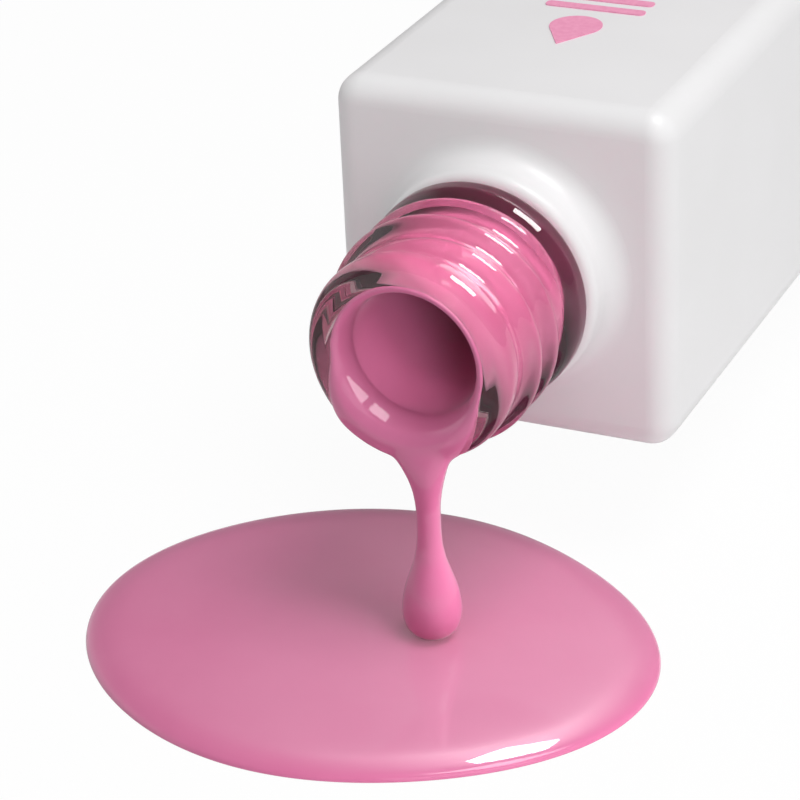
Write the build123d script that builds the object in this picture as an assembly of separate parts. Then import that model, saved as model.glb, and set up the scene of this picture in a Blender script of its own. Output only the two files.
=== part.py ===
"""Square nail polish bottle, tipped level and pouring, with its cap and brush drawn straight out.

The bottle is drawn standing on its base, with its axis along Z, and lay() then turns it over:
in the finished part the base faces +Y, the mouth faces -Y and +Z is up.
The origin is the centre of the flat base.  All sizes are in millimetres.
"""
from build123d import *
import math
import os

# ---- driving dimensions -------------------------------------------------------------
# Glass body
WIDTH = 23.0            # square section, over the lacquer
BODY_LENGTH = 46.0      # base to shoulder
LONG_EDGE_R = 1.9
END_EDGE_R = 1.7
GLASS_WALL = 2.2
GLASS_BASE = 5.0
SHOULDER_WALL = 3.0
CAVITY_EDGE_R = 2.5
CAVITY_END_R = 2.0
LACQUER = 0.15          # sprayed coat

# Boss between the shoulder and the neck
BOSS_R = 7.6
BOSS_HEIGHT = 2.9
BOSS_ROOT_R = 1.4
BOSS_RIM_R = 0.7

# Neck, of the 15 mm screw finish
NECK_HEIGHT = 14.5      # shoulder to lip
NECK_R = 6.55
BORE_R = 4.5
LIP_R = 6.73
LIP_HEIGHT = 1.7
LIP_OUTER_ROUND = 0.9
LIP_INNER_ROUND = 0.8
COLLAR_R = 7.36
COLLAR_LOW = 3.1        # from the shoulder
COLLAR_HEIGHT = 2.45
COLLAR_ROUND = 1.1

# Screw thread on the neck and in the cap
PITCH = 2.6
THREAD_R = 7.3
THREAD_ROOT_WIDTH = 1.5
THREAD_CREST_WIDTH = 0.6
THREAD_START = 5.85     # from the shoulder, middle of the ridge
THREAD_START_TURN = 20.0
THREAD_TURNS = 2.2
THREAD_BITE = 0.15      # how far a ridge is rooted in its wall

# Label and printed mark
LABEL_R = 8.0
LABEL_THICK = 0.3
PRINT_THICK = 0.08
PRINT_FROM_SHOULDER = 13.5
PRINT_SIZE = 7.0
PRINT_POINT_ANGLE = 30.0  # where the sides of the point leave the round of the drop
PRINT_BARS = (0.5, 0.75)  # below the middle of the drop, as a share of the print's size

# Polish
POLISH_LEVEL = -2.9     # height of the free surface inside, from the axis
POOL_BOTTOM = -19.4
POOL_THICK = 0.7
POOL_HALF_WIDTH = 18.5
POOL_HALF_DEPTH = 15.6
POOL_X = -2.9
POOL_Y = -61.3
POOL_TURN = -2.6
POOL_EDGE_R = 0.55
STREAM_X = 1.05
STREAM_THIN_R = 0.86
STREAM_TOP_R = 2.6
BULB_R = 2.12
BULB_FOOT_R = 1.17      # where the bulb meets the pool
BULB_WIDEST = 1.9       # heights above the pool
BULB_TOP = 5.6
STREAM_THINNEST = 8.1
BULB_TOP_R = 1.08
TONGUE_THICK = 0.9      # polish standing in front of the lip
TONGUE_ROUND = 0.72
TONGUE_OVERHANG = 0.2   # beyond the lip
TONGUE_TOP = -3.4

# Cap, drawn as it sits when closed
CAP_GAP = 0.6           # shoulder to cap
CAP_LENGTH = 31.0
CAP_WALL = 1.3
CAP_TOP = 1.6
CAP_RIB = 1.0
CAP_RIB_DEPTH = 1.5
SOCKET_R = 7.65
INNER_CAP_R = 9.4
INNER_CAP_LOW = 6.1     # from the shoulder
FLANGE_THICK = 1.8
FLANGE_GAP = 0.05
GRIP_RIBS = 36
GRIP_RIB_R = 0.35
CAP_THREAD_R = 6.85
CAP_THREAD_ROOT_WIDTH = 1.1
CAP_THREAD_CREST_WIDTH = 0.5
CAP_THREAD_TURNS = 2.0
LINER_R = 7.3
LINER_THICK = 1.0
LINER_GAP = 0.05
HUB_R = 3.4
HUB_HEIGHT = 5.0

# Brush
STEM_R = 1.75
STEM_TIP_R = 1.55
STEM_TAPER = 6.0
STEM_END = 20.0         # from the base, when closed
BRISTLE_END = 7.0
BRISTLE_ROOT_R = 1.2
BRISTLE_SOCKET = 4.2
BRISTLE_WAIST = (0.45, 1.6, 1.05)   # share of the length below the stem, half width, half thickness
BRISTLE_BELLY = (0.8, 1.9, 0.95)
BRISTLE_TIP = (1.0, 1.42, 0.48)
STAPLE = (2.9, 0.4, 1.4)
LINER_HOLE_CLEARANCE = 0.06

TRAVEL = 106.0          # how far the cap and brush are drawn out

# ---- heights that follow from them ---------------------------------------------------
LIP = BODY_LENGTH + NECK_HEIGHT
CAP_LOW = BODY_LENGTH + CAP_GAP
CAP_HIGH = CAP_LOW + CAP_LENGTH
LINER_LOW = LIP + LINER_GAP
CEILING = LINER_LOW + LINER_THICK
FLANGE_HIGH = CEILING + FLANGE_THICK
POOL_SURFACE = POOL_BOTTOM + POOL_THICK
CAP_INSIDE = WIDTH - 2 * CAP_WALL


def lay(shape, drawn_out=0.0):
    """Turn an upright shape over so that the mouth faces -Y, moved out along the neck."""
    return Pos(0, -drawn_out, 0) * Rot(90, 0, 0) * shape


def write(name, shape):
    shape.label = name
    export_step(shape, f"parts/{name}.step")


def disc(radius, low, high):
    return Pos(0, 0, low) * extrude(Circle(radius), high - low)


def ends(shape):
    """The edges round the lowest and the highest face."""
    groups = shape.edges().group_by(Axis.Z)
    return groups[0] + groups[-1]


def square_block(width, low, high, long_edge_r):
    return Pos(0, 0, low) * extrude(RectangleRounded(width, width, long_edge_r), high - low)


# ---- bottle ----------------------------------------------------------------------------
def bottle_form(inset):
    """Body, shoulder and boss as one solid form, set in from the outside of the lacquer."""
    body = square_block(WIDTH - 2 * inset, inset, BODY_LENGTH - inset, LONG_EDGE_R - inset)
    body = fillet(ends(body), END_EDGE_R - inset)
    boss_top = BODY_LENGTH + BOSS_HEIGHT - inset
    boss = disc(BOSS_R - inset, BODY_LENGTH - SHOULDER_WALL, boss_top)
    boss = fillet(boss.edges().group_by(Axis.Z)[-1], BOSS_RIM_R - inset)
    form = body + boss
    root = form.edges().filter_by(GeomType.CIRCLE).filter_by(
        lambda edge: abs(edge.center().Z - (BODY_LENGTH - inset)) < 0.01
        and abs(edge.radius - (BOSS_R - inset)) < 0.01)
    return fillet(root, BOSS_ROOT_R + inset)


def ridge(wall_r, crest_r, root_width, crest_width, turns):
    """One helical thread ridge, rooted in a wall and standing in or out to its crest."""
    outwards = 1 if crest_r > wall_r else -1
    root_r = wall_r - outwards * THREAD_BITE
    section = Plane.XZ * make_face(Polyline(
        (root_r, -root_width / 2),
        (crest_r, -crest_width / 2),
        (crest_r, crest_width / 2),
        (root_r, root_width / 2),
        close=True))
    return sweep(section, path=Helix(PITCH, PITCH * turns, root_r), is_frenet=True)


def make_glass():
    neck = disc(NECK_R, BODY_LENGTH, LIP - LIP_HEIGHT / 2)
    lip = disc(LIP_R, LIP - LIP_HEIGHT, LIP)
    lip = fillet(lip.edges().group_by(Axis.Z)[-1], LIP_OUTER_ROUND)
    collar_low = BODY_LENGTH + COLLAR_LOW
    collar = disc(COLLAR_R, collar_low, collar_low + COLLAR_HEIGHT)
    collar = fillet(ends(collar), COLLAR_ROUND)
    thread = ridge(NECK_R, THREAD_R, THREAD_ROOT_WIDTH, THREAD_CREST_WIDTH, THREAD_TURNS)
    thread = Pos(0, 0, BODY_LENGTH + THREAD_START) * Rot(0, 0, THREAD_START_TURN) * thread
    solid = bottle_form(LACQUER) + neck + lip + collar + thread

    label_seat = disc(LABEL_R, 0, LABEL_THICK)
    glass = solid - make_cavity() - disc(BORE_R, GLASS_BASE, LIP) - label_seat
    rim = glass.edges().filter_by(GeomType.CIRCLE).filter_by(
        lambda edge: abs(edge.radius - BORE_R) < 0.01 and edge.center().Z > LIP - 0.01)
    return fillet(rim, LIP_INNER_ROUND)


def make_cavity():
    width = WIDTH - 2 * LACQUER - 2 * GLASS_WALL
    cavity = square_block(width, GLASS_BASE, BODY_LENGTH - SHOULDER_WALL, CAVITY_EDGE_R)
    return fillet(ends(cavity), CAVITY_END_R)


def make_lacquer():
    coat = bottle_form(0) - bottle_form(LACQUER)
    return coat - disc(NECK_R, BODY_LENGTH, LIP) - disc(LABEL_R, 0, LABEL_THICK)


def make_print():
    """A plain drop over two bars, printed on the side that faces up."""
    drop_r = PRINT_SIZE / 4
    shoulder_x = drop_r * math.cos(math.radians(PRINT_POINT_ANGLE))
    shoulder_y = drop_r * math.sin(math.radians(PRINT_POINT_ANGLE))
    point = make_face(Polyline(
        (-shoulder_x, shoulder_y), (0, PRINT_SIZE / 2), (shoulder_x, shoulder_y), close=True))
    drop = Circle(drop_r) + point
    bar = RectangleRounded(PRINT_SIZE, PRINT_SIZE / 8, PRINT_SIZE / 20)
    bars = [Pos(0, -PRINT_SIZE * step) * bar for step in PRINT_BARS]
    mark = extrude(drop + bars, PRINT_THICK)
    height = BODY_LENGTH - PRINT_FROM_SHOULDER
    return Pos(0, WIDTH / 2 + PRINT_THICK, height) * Rot(90, 0, 0) * mark


def make_fill():
    below = Pos(0, POLISH_LEVEL - WIDTH / 2, BODY_LENGTH / 2) * Box(WIDTH, WIDTH, BODY_LENGTH)
    return make_cavity() & below


# ---- polish outside the bottle: drawn where it lies -------------------------------------
def make_pool():
    pool = extrude(Ellipse(POOL_HALF_WIDTH, POOL_HALF_DEPTH), POOL_THICK)
    pool = fillet(pool.edges().group_by(Axis.Z)[-1], POOL_EDGE_R)
    return Pos(POOL_X, POOL_Y, POOL_BOTTOM) * Rot(0, 0, POOL_TURN) * pool


def make_stream(glass):
    """The tongue on the lip, the thin stream and the bulb that meets the pool."""
    top = -LIP_R
    outline = Spline(
        (BULB_FOOT_R, POOL_SURFACE),
        (BULB_R, POOL_SURFACE + BULB_WIDEST),
        (BULB_TOP_R, POOL_SURFACE + BULB_TOP),
        (STREAM_THIN_R, POOL_SURFACE + STREAM_THINNEST),
        (STREAM_TOP_R, top),
        tangents=((1, 1), (1, 1)))
    half = make_face(outline + Polyline(
        (STREAM_TOP_R, top), (0, top), (0, POOL_SURFACE), (BULB_FOOT_R, POOL_SURFACE)))
    drop = Pos(STREAM_X, -LIP, 0) * revolve(Plane.XZ * half, Axis.Z)
    sheet = disc(LIP_R + TONGUE_OVERHANG, LIP - LIP_HEIGHT / 2, LIP + TONGUE_THICK)
    sheet = fillet(sheet.edges().group_by(Axis.Z)[-1], TONGUE_ROUND)
    sheet = sheet - disc(BORE_R + LIP_INNER_ROUND, LIP - LIP_HEIGHT, LIP + 2 * TONGUE_THICK)
    sheet = sheet & (Pos(0, TONGUE_TOP - WIDTH / 2, LIP) * Box(WIDTH, WIDTH, WIDTH))
    return drop + lay(sheet) - lay(glass)


# ---- cap ----------------------------------------------------------------------------------
def make_outer_cap():
    cap = square_block(WIDTH, CAP_LOW, CAP_HIGH, LONG_EDGE_R)
    cap = fillet(cap.edges().group_by(Axis.Z)[-1], END_EDGE_R)
    inside_top = CAP_HIGH - CAP_TOP
    cap = cap - square_block(CAP_INSIDE, CAP_LOW, inside_top, LONG_EDGE_R - CAP_WALL)
    rib_height = inside_top - FLANGE_HIGH
    rib = Box(CAP_RIB, CAP_RIB_DEPTH, rib_height, align=(Align.CENTER, Align.MAX, Align.MIN))
    for side in range(4):
        for offset in (-CAP_INSIDE / 4, CAP_INSIDE / 4):
            cap += Rot(0, 0, 90 * side) * Pos(offset, CAP_INSIDE / 2, FLANGE_HIGH) * rib
    return cap


def make_inner_cap():
    low = BODY_LENGTH + INNER_CAP_LOW
    cap = disc(INNER_CAP_R, low, FLANGE_HIGH)
    grip_rib = Pos(INNER_CAP_R, 0, 0) * disc(GRIP_RIB_R, low, FLANGE_HIGH)
    cap += [Rot(0, 0, 360 / GRIP_RIBS * number) * grip_rib for number in range(GRIP_RIBS)]
    flange_width = CAP_INSIDE - 2 * FLANGE_GAP
    cap += square_block(flange_width, CEILING, FLANGE_HIGH, LONG_EDGE_R - CAP_WALL)
    cap += disc(HUB_R, CEILING, CEILING + HUB_HEIGHT)
    cap -= disc(SOCKET_R, low, CEILING)
    thread = ridge(SOCKET_R, CAP_THREAD_R, CAP_THREAD_ROOT_WIDTH, CAP_THREAD_CREST_WIDTH, CAP_THREAD_TURNS)
    start = BODY_LENGTH + THREAD_START + PITCH / 2
    cap += Pos(0, 0, start) * Rot(0, 0, THREAD_START_TURN) * thread
    return cap - disc(STEM_R, low, CEILING + HUB_HEIGHT)


def make_liner():
    hole = disc(STEM_R + LINER_HOLE_CLEARANCE, LINER_LOW, CEILING)
    return disc(LINER_R, LINER_LOW, CEILING - LINER_GAP) - hole


# ---- brush ----------------------------------------------------------------------------------
def make_staple():
    return Pos(0, 0, STEM_END + BRISTLE_SOCKET + STAPLE[2] / 2) * Box(*STAPLE)


def make_stem():
    flare = math.degrees(math.atan2(STEM_R - STEM_TIP_R, STEM_TAPER))
    taper = Pos(0, 0, STEM_END) * extrude(Circle(STEM_TIP_R), STEM_TAPER, taper=-flare)
    stem = taper + disc(STEM_R, STEM_END + STEM_TAPER, CEILING + HUB_HEIGHT)
    socket = disc(BRISTLE_ROOT_R, STEM_END, STEM_END + BRISTLE_SOCKET + STAPLE[2])
    return stem - socket - make_staple()


def make_bristles():
    """Round where it enters the stem, flattened and rounded off at its tip."""
    length = STEM_END - BRISTLE_END
    root = disc(BRISTLE_ROOT_R, STEM_END, STEM_END + BRISTLE_SOCKET)
    sections = [Pos(0, 0, STEM_END) * Circle(BRISTLE_ROOT_R)]
    for share, half_width, half_thickness in (BRISTLE_WAIST, BRISTLE_BELLY, BRISTLE_TIP):
        sections.append(Pos(0, 0, STEM_END - length * share) * Ellipse(half_width, half_thickness))
    return root + loft(sections)


# ---- write every node -------------------------------------------------------------------------
glass = make_glass()
write("glass_bottle", lay(glass))
write("lacquer_coat", lay(make_lacquer()))
write("printed_mark", lay(make_print()))
write("base_label", lay(disc(LABEL_R, 0, LABEL_THICK)))
write("polish_fill", lay(make_fill()))
write("polish_stream", make_stream(glass))
write("polish_pool", make_pool())
write("cap_liner", lay(make_liner(), TRAVEL))
write("outer_cap", lay(make_outer_cap(), TRAVEL))
write("inner_cap", lay(make_inner_cap(), TRAVEL))
write("brush_stem", lay(make_stem(), TRAVEL))
write("bristle_staple", lay(make_staple(), TRAVEL))
write("brush_bristles", lay(make_bristles(), TRAVEL))
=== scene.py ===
"""Square nail polish bottle, tipped level and pouring, with its cap and brush drawn straight out.

Every length below is in millimetres until a piece is finished, when it is scaled to metres.
Pieces of the bottle and cap are drawn upright on the bottle's base and then laid over, so that
the base faces +Y and the mouth faces -Y; the polish outside the bottle is drawn where it lies.
"""

import math
import random

import bmesh
import bpy
from mathutils import Matrix, Vector


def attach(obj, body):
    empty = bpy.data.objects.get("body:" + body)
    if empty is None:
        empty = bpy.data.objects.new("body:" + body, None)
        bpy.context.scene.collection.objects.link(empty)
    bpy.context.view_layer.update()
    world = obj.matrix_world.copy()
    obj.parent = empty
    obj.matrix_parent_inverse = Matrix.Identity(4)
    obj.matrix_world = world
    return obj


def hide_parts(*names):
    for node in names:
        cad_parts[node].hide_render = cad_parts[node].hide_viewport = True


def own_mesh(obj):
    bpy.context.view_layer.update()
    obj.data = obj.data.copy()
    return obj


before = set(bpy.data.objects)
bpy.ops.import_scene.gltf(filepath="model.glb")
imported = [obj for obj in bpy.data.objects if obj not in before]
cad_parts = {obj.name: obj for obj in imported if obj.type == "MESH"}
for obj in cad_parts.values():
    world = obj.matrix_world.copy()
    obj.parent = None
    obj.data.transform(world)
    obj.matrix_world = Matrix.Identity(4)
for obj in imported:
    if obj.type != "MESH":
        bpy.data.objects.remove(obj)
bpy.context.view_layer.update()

MM = 0.001
LAY = Matrix.Rotation(math.radians(90), 4, "X")  # upright to lying: the mouth turns to -Y

# ---- sizes, as in the part's source ---------------------------------------------------
SHOULDER = 46.0         # from the base
LIP = 60.5
WIDTH = 23.0
LACQUER = 0.15
LONG_EDGE_R = 1.9
END_EDGE_R = 1.7
BOSS_R = 7.6
BOSS_HEIGHT = 2.9
NECK_R = 6.55
BORE_R = 4.5
LIP_R = 6.73
LIP_HEIGHT = 1.7
COLLAR_R = 7.36
COLLAR_LOW = 49.1
COLLAR_HIGH = 51.55
COLLAR_ROUND = 1.1
PITCH = 2.6
THREAD_RISE = 0.75
THREAD_START = 51.85
THREAD_START_TURN = 20.0
THREAD_TURNS = 2.2
RIDGE_FLAT = 0.12       # half the width of the ridge's crest, and of its foot
RIDGE_FOOT = 1.05
CAVITY_LOW = 5.0
CAVITY_HIGH = 43.0
CAVITY_WIDTH = 18.3
LABEL_R = 8.0
LABEL_THICK = 0.3
POOL_BOTTOM = -19.4
POOL_TOP = -18.7
STREAM_X = 1.05
STREAM_Y = -60.35
MOUTH = (0, -56, 0)     # the middle of the neck, where the lamps look


# ---- making and finishing pieces --------------------------------------------------------
def finish_piece(bm, name, finish, body, replaced=(), laid=True):
    """Turn a bmesh drawn in millimetres into a finished object riding on its body."""
    if laid:
        bmesh.ops.transform(bm, matrix=LAY, verts=bm.verts)
    bmesh.ops.scale(bm, vec=(MM, MM, MM), verts=bm.verts)
    for face in bm.faces:
        face.smooth = True
    mesh = bpy.data.meshes.new(name)
    bm.to_mesh(mesh)
    bm.free()
    piece = bpy.data.objects.new(name, mesh)
    bpy.context.scene.collection.objects.link(piece)
    mesh.materials.append(finish)
    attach(piece, body)
    if replaced:
        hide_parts(*replaced)
    return piece


def turned(outline, steps=96, closed=False):
    """A full turn round Z of an outline of (radius, height, rounding)."""
    bm = bmesh.new()
    points = [bm.verts.new((radius, 0, height)) for radius, height, _ in outline]
    for start, end in zip(points, points[1:]):
        bm.edges.new((start, end))
    if closed:
        bm.edges.new((points[-1], points[0]))
    bmesh.ops.spin(bm, geom=bm.verts[:] + bm.edges[:], cent=(0, 0, 0), axis=(0, 0, 1),
                   angle=math.tau, steps=steps, use_merge=True)
    bmesh.ops.remove_doubles(bm, verts=bm.verts, dist=1e-4)
    for radius, height, rounding in outline:
        if rounding:  # rings are rounded after the turn, each by its own amount
            ring = ring_edges(bm, radius, height)
            bmesh.ops.bevel(bm, geom=ring, offset=rounding, offset_type="OFFSET", segments=12,
                            profile=0.5, affect="EDGES", material=-1)
    bmesh.ops.recalc_face_normals(bm, faces=bm.faces)
    return bm


def ring_edges(bm, radius, height):
    """The edges of the ring at this radius and height round the Z axis."""
    def on_ring(vert):
        return abs(vert.co.xy.length - radius) < 1e-3 and abs(vert.co.z - height) < 1e-3
    return [edge for edge in bm.edges if on_ring(edge.verts[0]) and on_ring(edge.verts[1])]


def block(width, low, high, long_edge_r, end_edge_r):
    """A square block with rounded edges, standing on the Z axis."""
    bm = bmesh.new()
    corners = bmesh.ops.create_cube(bm, size=1.0)["verts"]
    bmesh.ops.scale(bm, vec=(width, width, high - low), verts=corners)
    bmesh.ops.translate(bm, vec=(0, 0, (low + high) / 2), verts=corners)
    upright = {edge for vert in corners for edge in vert.link_edges
               if abs(edge.verts[0].co.z - edge.verts[1].co.z) > 1}
    bmesh.ops.bevel(bm, geom=list(upright), offset=long_edge_r, offset_type="OFFSET",
                    segments=6, profile=0.5, affect="EDGES", material=-1)
    level = [edge for edge in bm.edges
             if all(abs(v.co.z - low) < 1e-4 for v in edge.verts)
             or all(abs(v.co.z - high) < 1e-4 for v in edge.verts)]
    bmesh.ops.bevel(bm, geom=level, offset=end_edge_r, offset_type="OFFSET",
                    segments=5, profile=0.5, affect="EDGES", material=-1)
    return bm


def smooth_step(low, high, value):
    share = min(1.0, max(0.0, (value - low) / (high - low)))
    return share * share * (3 - 2 * share)


def window(value, start, full, ease, end):
    """0 before start, 1 from full to ease, 0 again after end."""
    return smooth_step(start, full, value) * (1 - smooth_step(ease, end, value))


def angle_of(vert):
    return math.degrees(math.atan2(vert.co.y, vert.co.x)) % 360


# ---- finishes ----------------------------------------------------------------------------
def finish(name, colour, roughness, **sockets):
    """A new Principled material; returns (material, nodes, links, shader)."""
    material = bpy.data.materials.new(name)
    material.use_nodes = True
    nodes = material.node_tree.nodes
    links = material.node_tree.links
    shader = nodes["Principled BSDF"]
    shader.inputs["Base Color"].default_value = (*colour, 1)
    shader.inputs["Roughness"].default_value = roughness
    for socket, value in sockets.items():
        shader.inputs[socket.replace("_", " ")].default_value = value
    return material, nodes, links, shader


def grain(nodes, links, scale, detail=3.0, stretch=(1, 1, 1)):
    """Noise in Object coordinates, scale given per metre."""
    place = nodes.new("ShaderNodeTexCoord")
    mapping = nodes.new("ShaderNodeMapping")
    mapping.inputs["Scale"].default_value = stretch
    noise = nodes.new("ShaderNodeTexNoise")
    noise.inputs["Scale"].default_value = scale
    noise.inputs["Detail"].default_value = detail
    links.new(place.outputs["Object"], mapping.inputs["Vector"])
    links.new(mapping.outputs["Vector"], noise.inputs["Vector"])
    return noise


def bumpy(nodes, links, shader, height, strength, distance):
    bump = nodes.new("ShaderNodeBump")
    bump.inputs["Strength"].default_value = strength
    bump.inputs["Distance"].default_value = distance
    links.new(height, bump.inputs["Height"])
    links.new(bump.outputs["Normal"], shader.inputs["Normal"])


def ramp(nodes, links, factor, *stops):
    """A colour ramp of (position, colour) stops."""
    node = nodes.new("ShaderNodeValToRGB")
    elements = node.color_ramp.elements
    elements[0].position, elements[0].color = stops[0][0], (*stops[0][1], 1)
    elements[1].position, elements[1].color = stops[-1][0], (*stops[-1][1], 1)
    for position, colour in stops[1:-1]:
        elements.new(position).color = (*colour, 1)
    links.new(factor, node.inputs["Fac"])
    return node.outputs["Color"]


def spread(nodes, links, factor, low, high):
    """A value brought from 0..1 to low..high."""
    node = nodes.new("ShaderNodeMapRange")
    node.inputs["To Min"].default_value = low
    node.inputs["To Max"].default_value = high
    links.new(factor, node.inputs["Value"])
    return node.outputs["Result"]


def white_lacquer():
    material, nodes, links, shader = finish("white_lacquer", (0.80, 0.795, 0.80), 0.38,
                                            Coat_Weight=0.15, Coat_Roughness=0.25)
    drift = grain(nodes, links, 90, 2)
    links.new(ramp(nodes, links, drift.outputs["Fac"], (0.3, (0.785, 0.78, 0.785)),
                   (0.7, (0.81, 0.805, 0.812))), shader.inputs["Base Color"])
    links.new(spread(nodes, links, drift.outputs["Fac"], 0.34, 0.44), shader.inputs["Roughness"])
    peel = grain(nodes, links, 1500, 2)
    bumpy(nodes, links, shader, peel.outputs["Fac"], 0.12, 0.00004)
    return material


def pink_ink():
    material, nodes, links, shader = finish("pink_ink", (0.85, 0.32, 0.50), 0.42)
    speckle = grain(nodes, links, 2600, 2)
    links.new(ramp(nodes, links, speckle.outputs["Fac"], (0.35, (0.82, 0.29, 0.47)),
                   (0.65, (0.87, 0.34, 0.52))), shader.inputs["Base Color"])
    bumpy(nodes, links, shader, speckle.outputs["Fac"], 0.1, 0.00003)
    return material


def label_paper():
    material, nodes, links, shader = finish("label_paper", (0.9, 0.9, 0.9), 0.55)
    place = nodes.new("ShaderNodeTexCoord")
    distance = nodes.new("ShaderNodeVectorMath")
    distance.operation = "LENGTH"
    flat = nodes.new("ShaderNodeMapping")
    flat.inputs["Scale"].default_value = (1, 0, 1)
    links.new(place.outputs["Object"], flat.inputs["Vector"])
    links.new(flat.outputs["Vector"], distance.inputs[0])
    ring = spread(nodes, links, distance.outputs["Value"], 0, 1)
    ring.node.inputs["From Max"].default_value = 0.008
    links.new(ramp(nodes, links, ring, (0.0, (0.9, 0.89, 0.9)), (0.86, (0.9, 0.89, 0.9)),
                   (0.87, (0.80, 0.28, 0.46)), (0.93, (0.80, 0.28, 0.46)), (0.94, (0.9, 0.89, 0.9))),
              shader.inputs["Base Color"])
    fibre = grain(nodes, links, 3000, 4)
    bumpy(nodes, links, shader, fibre.outputs["Fac"], 0.15, 0.00003)
    return material


def gel_polish():
    material, nodes, links, shader = finish("gel_polish", (0.57, 0.145, 0.29), 0.33, IOR=1.5,
                                            Specular_IOR_Level=0.12, Coat_Weight=0.8, Coat_Roughness=0.03,
                                            Sheen_Weight=0.12, Sheen_Roughness=0.5)
    shader.inputs["Sheen Tint"].default_value = (1.0, 0.9, 1.0, 1)
    swirl = grain(nodes, links, 110, 3)
    links.new(ramp(nodes, links, swirl.outputs["Fac"], (0.3, (0.56, 0.135, 0.28)),
                   (0.7, (0.58, 0.155, 0.30))), shader.inputs["Base Color"])
    links.new(spread(nodes, links, swirl.outputs["Fac"], 0.31, 0.35), shader.inputs["Roughness"])
    return material


def clear_glass():
    """Glass that lets lamps through to what is behind it."""
    material, nodes, links, shader = finish("clear_glass", (0.98, 0.80, 0.82), 0.0, IOR=1.5)
    shader.inputs["Transmission Weight"].default_value = 1.0
    ripple = grain(nodes, links, 260, 1)
    bumpy(nodes, links, shader, ripple.outputs["Fac"], 0.03, 0.0001)
    path = nodes.new("ShaderNodeLightPath")
    through = nodes.new("ShaderNodeBsdfTransparent")
    through.inputs["Color"].default_value = (0.31, 0.43, 0.42, 1)
    mix = nodes.new("ShaderNodeMixShader")
    links.new(path.outputs["Is Shadow Ray"], mix.inputs["Fac"])
    links.new(shader.outputs["BSDF"], mix.inputs[1])
    links.new(through.outputs["BSDF"], mix.inputs[2])
    links.new(mix.outputs["Shader"], nodes["Material Output"].inputs["Surface"])
    return material


def moulded_plastic(name, colour, roughness, grain_scale, strength):
    material, nodes, links, shader = finish(name, colour, roughness)
    texture = grain(nodes, links, grain_scale, 3)
    darker = tuple(channel * 0.95 for channel in colour)
    links.new(ramp(nodes, links, texture.outputs["Fac"], (0.3, darker), (0.7, colour)),
              shader.inputs["Base Color"])
    links.new(spread(nodes, links, texture.outputs["Fac"], roughness - 0.05, roughness + 0.07),
              shader.inputs["Roughness"])
    bumpy(nodes, links, shader, texture.outputs["Fac"], strength, 0.00004)
    return material


def liner_foam():
    material, nodes, links, shader = finish("liner_foam", (0.86, 0.85, 0.83), 0.8)
    place = nodes.new("ShaderNodeTexCoord")
    cells = nodes.new("ShaderNodeTexVoronoi")
    cells.inputs["Scale"].default_value = 4500
    links.new(place.outputs["Object"], cells.inputs["Vector"])
    links.new(ramp(nodes, links, cells.outputs["Distance"], (0.0, (0.70, 0.69, 0.67)),
                   (0.6, (0.88, 0.87, 0.85))), shader.inputs["Base Color"])
    bumpy(nodes, links, shader, cells.outputs["Distance"], 0.5, 0.0001)
    return material


def staple_steel():
    material, nodes, links, shader = finish("staple_steel", (0.62, 0.60, 0.58), 0.3, Metallic=1.0)
    scratches = grain(nodes, links, 900, 3, (1, 12, 1))
    links.new(spread(nodes, links, scratches.outputs["Fac"], 0.2, 0.45), shader.inputs["Roughness"])
    return material


def nylon_bristle():
    """Milky nylon at the root, wet with polish towards the tip."""
    material, nodes, links, shader = finish("nylon_bristle", (0.8, 0.6, 0.66), 0.25,
                                            Coat_Weight=0.4, Coat_Roughness=0.08)
    place = nodes.new("ShaderNodeTexCoord")
    along = nodes.new("ShaderNodeSeparateXYZ")
    links.new(place.outputs["Object"], along.inputs["Vector"])
    wet = spread(nodes, links, along.outputs["Y"], 0, 1)
    wet.node.inputs["From Min"].default_value = -0.1262
    wet.node.inputs["From Max"].default_value = -0.1130
    links.new(ramp(nodes, links, wet, (0.0, (0.82, 0.74, 0.76)), (0.12, (0.78, 0.45, 0.55)),
                   (0.3, (0.74, 0.22, 0.37)), (1.0, (0.74, 0.20, 0.35))),
              shader.inputs["Base Color"])
    streaks = grain(nodes, links, 900, 2, (6, 0.4, 6))
    bumpy(nodes, links, shader, streaks.outputs["Fac"], 0.2, 0.00005)
    return material


def wet_stem(colour):
    """White stem, with polish left on the end that stands in the bottle."""
    material, nodes, links, shader = finish("stem_plastic", colour, 0.3)
    place = nodes.new("ShaderNodeTexCoord")
    along = nodes.new("ShaderNodeSeparateXYZ")
    links.new(place.outputs["Object"], along.inputs["Vector"])
    edge = grain(nodes, links, 420, 3)
    height = nodes.new("ShaderNodeMath")
    height.operation = "MULTIPLY_ADD"
    height.inputs[1].default_value = 0.006
    links.new(edge.outputs["Fac"], height.inputs[0])
    links.new(along.outputs["Y"], height.inputs[2])
    wet = spread(nodes, links, height.outputs["Value"], 0, 1)
    wet.node.inputs["From Min"].default_value = -0.1385
    wet.node.inputs["From Max"].default_value = -0.1375
    links.new(ramp(nodes, links, wet, (0.0, colour), (1.0, (0.74, 0.20, 0.35))),
              shader.inputs["Base Color"])
    links.new(spread(nodes, links, wet, 0.32, 0.08), shader.inputs["Roughness"])
    bumpy(nodes, links, shader, edge.outputs["Fac"], 0.08, 0.00004)
    return material


def dress(node, material):
    """Give a CAD node its finish."""
    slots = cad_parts[node].data.materials
    slots.clear()
    slots.append(material)


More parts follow.
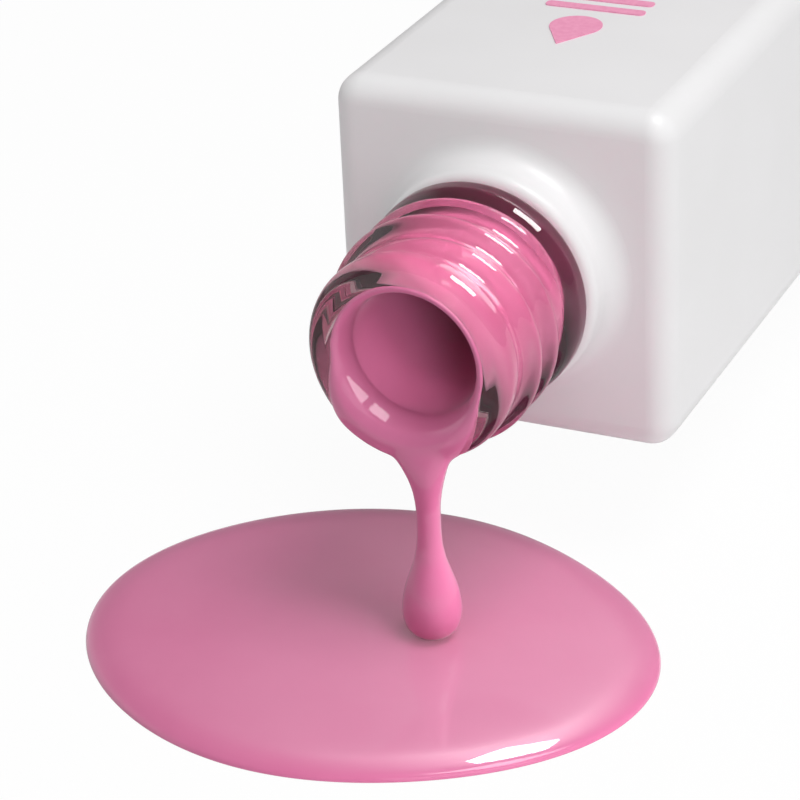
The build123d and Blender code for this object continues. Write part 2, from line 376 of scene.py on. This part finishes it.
# ---- glass ---------------------------------------------------------------------------------
def thread_rise(angle, height):
    """How far the right-handed ridge stands out of the neck here."""
    rise = 0.0
    for turn in range(-1, 4):
        turned_by = (angle - THREAD_START_TURN) / 360 + turn
        if -0.1 < turned_by < THREAD_TURNS + 0.1:
            away = abs(height - THREAD_START - PITCH * turned_by)
            fade = window(turned_by, -0.08, 0.1, THREAD_TURNS - 0.1, THREAD_TURNS + 0.08)
            rise = max(rise, THREAD_RISE * fade * (1 - smooth_step(RIDGE_FLAT, RIDGE_FOOT, away)))
    return rise


def bottle_glass(material):
    """The body's thick walls, the threaded neck, the rounded lip and the bore as one closed surface."""
    bite = 0.05  # how far the glass reaches into the lacquer, so that no air shows between them
    inset = LACQUER - bite
    top = SHOULDER - inset
    boss_r = BOSS_R - inset
    boss_top = SHOULDER + BOSS_HEIGHT - inset
    shoulder_ring = 9.4  # joined to the square shoulder further down
    neck = turned([
        (shoulder_ring, top, 0), (boss_r, top, 1.5), (boss_r, boss_top, 0.6), (NECK_R, boss_top, 0),
        (NECK_R, COLLAR_LOW, 0), (COLLAR_R, COLLAR_LOW, 0.75), (COLLAR_R, COLLAR_HIGH, COLLAR_ROUND),
        (NECK_R, COLLAR_HIGH, 0), (NECK_R, LIP - LIP_HEIGHT, 0), (LIP_R, LIP - LIP_HEIGHT + 0.25, 0.2),
        (LIP_R, LIP, 0.9), (BORE_R, LIP, 0.8), (BORE_R, CAVITY_HIGH, 0)], steps=192)
    rising = [edge for edge in neck.edges
              if abs(edge.verts[0].co.z - edge.verts[1].co.z) > 5
              and min(vert.co.z for vert in edge.verts) > COLLAR_HIGH - 0.5
              and edge.verts[0].co.xy.length > NECK_R - 0.1]
    bmesh.ops.subdivide_edges(neck, edges=rising, cuts=56, use_grid_fill=True)
    for vert in neck.verts:
        radius = vert.co.xy.length
        if radius > NECK_R - 0.05 and COLLAR_HIGH - 1.2 < vert.co.z < LIP - 0.9:
            wanted = NECK_R + thread_rise(angle_of(vert), vert.co.z)
            if wanted > radius:
                vert.co.xy *= wanted / radius
    carry_over(block(WIDTH - 2 * inset, inset, top, LONG_EDGE_R - inset, END_EDGE_R - inset), neck)
    join_to_face(neck, top, shoulder_ring)
    carry_over(block(CAVITY_WIDTH, CAVITY_LOW, CAVITY_HIGH, 2.5, 2.0), neck)
    join_to_face(neck, CAVITY_HIGH, BORE_R)
    seat = turned([(LABEL_R, inset, 0), (LABEL_R, LABEL_THICK - bite, 0), (0, LABEL_THICK - bite, 0)],
                  steps=96)
    carry_over(seat, neck)
    join_to_face(neck, inset, LABEL_R)
    bmesh.ops.recalc_face_normals(neck, faces=neck.faces)
    return finish_piece(neck, "bottle_glass", material, "bottle", ["glass_bottle"])


def join_to_face(bm, height, radius):
    """Open the large flat face at this height and bridge its edge to the ring of this radius."""
    flat = [face for face in bm.faces if face.calc_area() > 150
            and all(abs(vert.co.z - height) < 1e-3 for vert in face.verts)]
    rim = [edge for face in flat for edge in face.edges]
    bmesh.ops.delete(bm, geom=flat, context="FACES_ONLY")
    ring = [edge for edge in ring_edges(bm, radius, height) if edge.is_boundary]
    bmesh.ops.bridge_loops(bm, edges=rim + ring)


def carry_over(source, target):
    """Add one bmesh to another."""
    mesh = bpy.data.meshes.new("carry_over")
    source.to_mesh(mesh)
    source.free()
    target.from_mesh(mesh)
    bpy.data.meshes.remove(mesh)


# ---- polish ---------------------------------------------------------------------------------
LINING_OUT_R = 4.75     # a little into the glass, so that no air shows between them
LINING_IN_R = 4.30
LINING_LOW = 41.0
RUN_THICKNESS = 1.15    # of the polish still running along the bore
VOXEL = 0.125
SMOOTHING = 18
PARTING_Y = -59.0       # where the lining in the bore and the polish outside part
BORE_BOTTOM = -5.2
LINING_RINGS = (        # radius and height where the film just ends, and where it spills over the lip
    ((LINING_OUT_R, LINING_LOW), (LINING_OUT_R, LINING_LOW)),
    ((LINING_OUT_R, 59.3), (LINING_OUT_R, 59.3)),
    ((4.85, 59.85), (5.3, 60.0)),
    ((5.02, 60.2), (6.35, 59.2)),
    ((5.08, 60.52), (7.05, 59.65)),
    ((4.93, 60.66), (6.5, 60.68)),
    ((4.66, 60.52), (5.5, 60.97)),
    ((4.44, 60.15), (4.7, 60.62)),
    ((LINING_IN_R, 59.4), (4.05, 59.4)),
    ((LINING_IN_R, LINING_LOW), (LINING_IN_R, LINING_LOW)))
STREAM_OUTLINE = (      # radius, height
    (0, -18.85), (0.8, -18.8), (1.35, -18.4), (1.72, -17.9), (1.9, -17.1), (1.87, -16.3),
    (1.68, -15.3), (1.36, -14.3), (1.02, -13.3), (0.84, -12.3), (0.78, -11.2), (0.79, -9.6),
    (0.92, -8.6), (1.2, -7.8), (1.72, -7.0), (2.4, -6.3), (3.0, -5.6), (2.3, -5.1), (0, -4.9))


def lip_share(angle):
    """Where round the lip the polish runs over it: all of it at the lower left."""
    return window(angle, 182, 230, 284, 346)


def polish_lining():
    """The film in the bore, the polish running along its lower left and the tongue over the lip."""
    bm = turned([(*ring[0], 0) for ring in LINING_RINGS], steps=144, closed=True)
    walls = [edge for edge in bm.edges if abs(edge.verts[0].co.z - edge.verts[1].co.z) > 5]
    bmesh.ops.subdivide_edges(bm, edges=walls, cuts=24, use_grid_fill=True)
    for vert in bm.verts:
        radius, height, angle = vert.co.xy.length, vert.co.z, angle_of(vert)
        over = lip_share(angle)
        running = window(angle, 130, 225, 255, 350)
        new_radius, new_height = radius, height
        for ring, spilled in LINING_RINGS:
            if abs(radius - ring[0]) < 1e-3 and abs(height - ring[1]) < 1e-3:
                new_radius = radius + (spilled[0] - radius) * over
                new_height = height + (spilled[1] - height) * over
        if radius < LINING_IN_R + 0.01:
            thickness = smooth_step(LINING_LOW, LINING_LOW + 4, height)
            thickness *= 1 - 0.75 * smooth_step(55.5, 59.6, height)
            new_radius = LINING_IN_R - RUN_THICKNESS * running * thickness
        vert.co.xy *= new_radius / radius
        vert.co.z = new_height
    bmesh.ops.transform(bm, matrix=LAY, verts=bm.verts)
    return bm


def stream_body():
    """The funnel under the lip, the thin stream and the bulb that has just met the pool."""
    bm = turned([(radius, height, 0) for radius, height in STREAM_OUTLINE], steps=64)
    for vert in bm.verts:
        hugging = smooth_step(-8.8, -5.4, vert.co.z)  # the funnel lies flat against the lip
        vert.co.y *= 1 - 0.82 * hugging
        if vert.co.x > 0:
            vert.co.x *= 1 - 0.42 * hugging
    bmesh.ops.translate(bm, vec=(STREAM_X, STREAM_Y, 0), verts=bm.verts)
    return bm


def remeshed(bm, voxel, smoothing):
    """The union of overlapping closed shapes as one even, smooth skin."""
    bmesh.ops.scale(bm, vec=(MM, MM, MM), verts=bm.verts)
    mesh = bpy.data.meshes.new("remeshed")
    bm.to_mesh(mesh)
    bm.free()
    holder = bpy.data.objects.new("remeshed", mesh)
    bpy.context.scene.collection.objects.link(holder)
    modifier = holder.modifiers.new("Remesh", "REMESH")
    modifier.mode = "VOXEL"
    modifier.voxel_size = voxel * MM
    evaluated = holder.evaluated_get(bpy.context.evaluated_depsgraph_get())
    skin = bmesh.new()
    skin.from_mesh(evaluated.to_mesh())
    evaluated.to_mesh_clear()
    bpy.data.objects.remove(holder)
    bpy.data.meshes.remove(mesh)
    bmesh.ops.scale(skin, vec=(1 / MM,) * 3, verts=skin.verts)
    for _ in range(smoothing):
        bmesh.ops.smooth_vert(skin, verts=skin.verts, factor=0.5, use_axis_x=True,
                              use_axis_y=True, use_axis_z=True)
    return skin


def poured_polish(material):
    """The polish from the bore to the pool, parted inside the lip, clear of where the cap closes."""
    whole = polish_lining()
    carry_over(stream_body(), whole)
    skin = remeshed(whole, VOXEL, SMOOTHING)
    pieces = []
    for name, in_bore in (("polish_lining", True), ("polish_pour", False)):
        half = skin.copy()
        bmesh.ops.bisect_plane(half, geom=half.verts[:] + half.edges[:] + half.faces[:],
                               plane_co=(0, PARTING_Y, 0), plane_no=(0, 1, 0))
        other = []
        for face in half.faces:
            centre = face.calc_center_median()
            if (centre.y > PARTING_Y and centre.z > BORE_BOTTOM) != in_bore:
                other.append(face)
        bmesh.ops.delete(half, geom=other, context="FACES")
        rim = [edge for edge in half.edges if edge.is_boundary]
        bmesh.ops.triangle_fill(half, edges=rim, use_beauty=True)
        for edge in rim:
            edge.smooth = False
        replaced = [] if in_bore else ["polish_stream"]
        piece = finish_piece(half, name, material, "bottle", replaced, laid=False)
        if not in_bore:
            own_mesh(piece)
        pieces.append(piece)
    skin.free()
    return pieces


def polish_puddle(material):
    """The pool: level in the middle, falling gently and then steeply to its edge."""
    fall = ((0.0, 0.0), (0.03, 0.12), (0.1, 0.23), (0.25, 0.345), (0.6, 0.472), (1.2, 0.60),
            (1.8, 0.668), (2.6, 0.695), (4.0, 0.70), (6.5, 0.70), (11.0, 0.70))
    round_r, half_length, half_width = 17.0, 18.56, 15.63
    outline = [(0, POOL_BOTTOM, 0)]
    outline += [(round_r - inside, POOL_BOTTOM + rise, 0) for inside, rise in fall]
    outline.append((0, POOL_TOP, 0))
    bm = turned(outline, steps=96)
    for vert in bm.verts:
        angle = math.atan2(vert.co.y, vert.co.x)
        ellipse = half_length * half_width / math.hypot(half_width * math.cos(angle),
                                                        half_length * math.sin(angle))
        wander = (-0.0053 * math.cos(angle) + 0.001 * math.sin(angle)
                  - 0.0059 * math.cos(2 * angle) - 0.0068 * math.sin(2 * angle)
                  + 0.0114 * math.cos(3 * angle) - 0.0034 * math.sin(3 * angle)
                  + 0.0111 * math.cos(4 * angle))
        vert.co.xy *= ellipse * (1 + wander) / round_r
    bmesh.ops.translate(bm, vec=(-2.93, -61.35, 0), verts=bm.verts)
    contact = bm.edges.layers.float.new("crease_edge")
    for edge in bm.edges:
        if all(abs(vert.co.z - POOL_BOTTOM) < 1e-4 for vert in edge.verts) and len(
                {face.normal.z < -0.9 for face in edge.link_faces}) == 2:
            edge[contact] = 1.0
    piece = finish_piece(bm, "polish_puddle", material, "bottle", ["polish_pool"],
                         laid=False)
    smoothing = piece.modifiers.new("Subdivision", "SUBSURF")
    smoothing.levels = smoothing.render_levels = 2
    return piece


# ---- brush ------------------------------------------------------------------------------------
def brush_filaments(material):
    """Fine nylon filaments round a wet core, flattened and rounded off at the tip."""
    dice = random.Random(7)
    root_y, tip_y = -126.4, -113.0
    root_r, belly, thinned, filament_r = 1.1, 1.72, 0.62, 0.052
    bm = bmesh.new()
    count = 240
    for number in range(count):
        share = math.sqrt((number + 0.5) / count)
        turn = number * 2.39996
        across = Vector((math.cos(turn), 0, math.sin(turn))) * share
        reach = tip_y - 3.2 * share ** 3 - dice.uniform(0, 0.35)
        ring = bmesh.ops.create_circle(bm, cap_ends=True, radius=filament_r, segments=5)["verts"]
        bmesh.ops.rotate(bm, cent=(0, 0, 0), matrix=Matrix.Rotation(math.radians(90), 3, "X"),
                         verts=ring)
        bmesh.ops.translate(bm, vec=(across.x * root_r, root_y, across.z * root_r), verts=ring)
        face = ring[0].link_faces[0]
        for step in (0.3, 0.55, 0.8, 1.0):
            wide = root_r + (belly - root_r) * math.sin(step * 2.2) ** 2 - 0.25 * step ** 4
            thin = root_r + (thinned - root_r) * smooth_step(0, 1, step)
            place = Vector((across.x * wide, root_y + (reach - root_y) * step, across.z * thin))
            grown = bmesh.ops.extrude_discrete_faces(bm, faces=[face])["faces"][0]
            centre = grown.calc_center_median()
            bmesh.ops.translate(bm, vec=place - centre, verts=grown.verts)
            face = grown
        bmesh.ops.scale(bm, vec=(0.5, 1, 0.5), verts=face.verts,
                        space=Matrix.Translation(-face.calc_center_median()))
    core = turned([(0, -126.4, 0), (0.95, -126.2, 0), (1.2, -121, 0), (1.25, -117.5, 0),
                   (0.8, -115, 0), (0, -114.2, 0)], steps=32)
    bmesh.ops.transform(core, matrix=Matrix.Rotation(math.radians(-90), 4, "X"), verts=core.verts)
    for vert in core.verts:
        vert.co.z *= 1 - 0.5 * smooth_step(-125, -115, vert.co.y)
    carry_over(core, bm)
    bmesh.ops.recalc_face_normals(bm, faces=bm.faces)
    return finish_piece(bm, "brush_filaments", material, "cap",
                        ["brush_bristles"], laid=False)


# ---- stage, light and camera -------------------------------------------------------------------
def backdrop():
    """A white floor that stays nearly white where the object shades it."""
    floor_finish, nodes, links, shader = finish("floor", (0.9, 0.9, 0.9), 0.7)
    glow = nodes.new("ShaderNodeEmission")
    glow.inputs["Strength"].default_value = 1.0
    path = nodes.new("ShaderNodeLightPath")
    mix = nodes.new("ShaderNodeMixShader")
    whiten = nodes.new("ShaderNodeMath")
    whiten.operation = "MULTIPLY"
    whiten.inputs[1].default_value = 0.95
    links.new(path.outputs["Is Camera Ray"], whiten.inputs[0])
    links.new(whiten.outputs["Value"], mix.inputs["Fac"])
    links.new(shader.outputs["BSDF"], mix.inputs[1])
    links.new(glow.outputs["Emission"], mix.inputs[2])
    links.new(mix.outputs["Shader"], nodes["Material Output"].inputs["Surface"])
    bm = bmesh.new()
    bmesh.ops.create_grid(bm, x_segments=1, y_segments=1, size=1500)
    bmesh.ops.translate(bm, vec=(0, 0, POOL_BOTTOM - 0.02), verts=bm.verts)
    bmesh.ops.scale(bm, vec=(MM, MM, MM), verts=bm.verts)
    mesh = bpy.data.meshes.new("floor")
    bm.to_mesh(mesh)
    bm.free()
    floor = bpy.data.objects.new("floor", mesh)
    mesh.materials.append(floor_finish)
    bpy.context.scene.collection.objects.link(floor)


def studio_world():
    """White for the camera, soft for the surfaces, quieter in reflections and through glass."""
    world = bpy.data.worlds.new("studio")
    bpy.context.scene.world = world
    world.use_nodes = True
    nodes, links = world.node_tree.nodes, world.node_tree.links
    path = nodes.new("ShaderNodeLightPath")
    place = nodes.new("ShaderNodeTexCoord")
    split = nodes.new("ShaderNodeSeparateXYZ")
    links.new(place.outputs["Generated"], split.inputs["Vector"])

    def eased(axis, none, full):
        node = nodes.new("ShaderNodeMapRange")
        node.interpolation_type = "SMOOTHSTEP"
        node.inputs["From Min"].default_value = none
        node.inputs["From Max"].default_value = full
        links.new(split.outputs[axis], node.inputs["Value"])
        return node.outputs["Result"]

    def combined(operation, first, second):
        node = nodes.new("ShaderNodeMath")
        node.operation = operation
        links.new(first, node.inputs[0])
        if isinstance(second, float):
            node.inputs[1].default_value = second
        else:
            links.new(second, node.inputs[1])
        return node.outputs["Value"]

    # what gloss reflects: a faint wall behind, a bright one on the left and a dim room
    behind = combined("MULTIPLY", eased("X", -0.43, -0.27), eased("Y", 0.35, 0.6))
    behind = combined("MULTIPLY", behind, eased("Z", 0.85, 0.6))
    behind = combined("MULTIPLY", behind, eased("X", 0.35, 0.1))
    left = combined("MULTIPLY", eased("X", -0.6, -0.85), 0.9)
    brightness = combined("ADD", combined("MULTIPLY", behind, 0.2), left)
    brightness = combined("ADD", brightness, 0.28)
    # what matt surfaces gather: more from the right than from the left
    soft = combined("ADD", combined("MULTIPLY", eased("X", -0.8, 0.8), 0.34), 0.27)
    shown = nodes["Background"].outputs["Background"]
    nodes["Background"].inputs["Color"].default_value = (1.0, 0.95, 0.965, 1)
    links.new(brightness, nodes["Background"].inputs["Strength"])
    for ray, colour in (("Is Transmission Ray", (0.40, 0.12, 0.14, 1)),
                        ("Is Diffuse Ray", (1, 1, 1, 1)),
                        ("Is Camera Ray", (1, 1, 1, 1))):
        tone = nodes.new("ShaderNodeBackground")
        tone.inputs["Color"].default_value = colour
        if ray == "Is Diffuse Ray":
            links.new(soft, tone.inputs["Strength"])
        choice = nodes.new("ShaderNodeMixShader")
        links.new(path.outputs[ray], choice.inputs["Fac"])
        links.new(shown, choice.inputs[1])
        links.new(tone.outputs["Background"], choice.inputs[2])
        shown = choice.outputs["Shader"]
    links.new(shown, nodes["World Output"].inputs["Surface"])


def softbox(name, target, direction, distance, size, power, along=(0, 0, 1)):
    """A rectangular lamp that looks at its target from a direction, its height running along a line."""
    light = bpy.data.lights.new(name, "AREA")
    light.shape = "RECTANGLE"
    light.size, light.size_y = size[0] * MM, size[1] * MM
    light.energy = power
    lamp = bpy.data.objects.new(name, light)
    away = Vector(direction).normalized()
    across = Vector(along).cross(away).normalized()
    turn = Matrix((across, away.cross(across), away)).transposed().to_4x4()
    lamp.matrix_world = Matrix.Translation((Vector(target) + away * distance) * MM) @ turn
    bpy.context.scene.collection.objects.link(lamp)
    return lamp


def light_only(lamp, *pieces):
    """Let this lamp show on these pieces only, as a flag on a stand would."""
    chosen = bpy.data.collections.new(lamp.name + "_falls_on")
    for piece in pieces:
        chosen.objects.link(piece)
    lamp.light_linking.receiver_collection = chosen


def light_all_but(lamp, piece):
    """Keep this lamp off one piece."""
    light_only(lamp, piece)
    for row in lamp.light_linking.receiver_collection.collection_objects:
        row.light_linking.link_state = "EXCLUDE"


def camera():
    data = bpy.data.cameras.new("camera")
    data.lens = 136.25
    data.sensor_width = 36.0
    data.clip_start = 0.01
    data.clip_end = 20.0
    holder = bpy.data.objects.new("camera", data)
    right = Vector((0.90835, 0.41623, -0.04071))
    down = Vector((0.15697, -0.42953, -0.88930))
    forward = Vector((-0.38764, 0.80141, -0.45550))
    turn = Matrix((right, -down, -forward)).transposed().to_4x4()
    holder.matrix_world = Matrix.Translation(Vector((70.08, -206.32, 80.35)) * MM) @ turn
    bpy.context.scene.collection.objects.link(holder)
    bpy.context.scene.camera = holder


# ---- build ----------------------------------------------------------------------------------
camera()
backdrop()
studio_world()
key = softbox("key", MOUTH, (0.35, 0.0, 0.94), 260, (120, 120), 0.36)
right = softbox("right", MOUTH, (0.62, -0.64, 0.45), 300, (240, 240), 0.19)
glass_strip = softbox("glass_strip", MOUTH, (0.50, 0.12, 0.86), 380, (170, 230), 2.6, along=(0, 1, 0))
pool_window = softbox("pool_window", (11, -72, -18.8), (-0.16, 0.59, 0.79), 420, (66, 215), 2.2,
                      along=(0.195, -0.20, 0.19))
pool_side = softbox("pool_side", (6, -66, -19), (0.88, -0.30, 0.38), 80, (60, 50), 0.042)
stream_rim = softbox("stream_rim", (1, -60, -12), (0.86, 0.10, 0.50), 300, (200, 200), 0.9)
bore_light = softbox("bore_light", MOUTH, (0.60, -0.76, 0.25), 300, (90, 90), 0.42)
glass_haze = softbox("glass_haze", MOUTH, (0.30, 0.80, 0.52), 300, (200, 200), 0.5)
pool_window.visible_diffuse = False
for lamp in (pool_side, bore_light):
    lamp.visible_glossy = False

bpy.context.scene.view_settings.view_transform = "Standard"

polish = gel_polish()
glass = bottle_glass(clear_glass())
light_only(glass_strip, glass)
light_only(glass_haze, glass)
for lamp in (key, right):
    light_all_but(lamp, glass)
poured = poured_polish(polish)
puddle = polish_puddle(polish)
for lamp in (pool_window, pool_side):
    light_only(lamp, puddle)
light_only(stream_rim, *poured)
light_only(bore_light, poured[0])
# these two shine past the bottle, which would stand between them and what they light
past_the_bottle = bpy.data.collections.new("past_the_bottle")
past_the_bottle.objects.link(puddle)
for lamp in (pool_window, glass_haze):
    lamp.light_linking.blocker_collection = past_the_bottle
brush_filaments(nylon_bristle())
dress("lacquer_coat", white_lacquer())
dress("printed_mark", pink_ink())
dress("base_label", label_paper())
dress("polish_fill", polish)
dress("cap_liner", liner_foam())
dress("outer_cap", moulded_plastic("cap_plastic", (0.86, 0.855, 0.86), 0.35, 1400, 0.10))
dress("inner_cap", moulded_plastic("inner_cap_plastic", (0.78, 0.78, 0.77), 0.45, 900, 0.16))
dress("brush_stem", wet_stem((0.80, 0.79, 0.78)))
dress("bristle_staple", staple_steel())
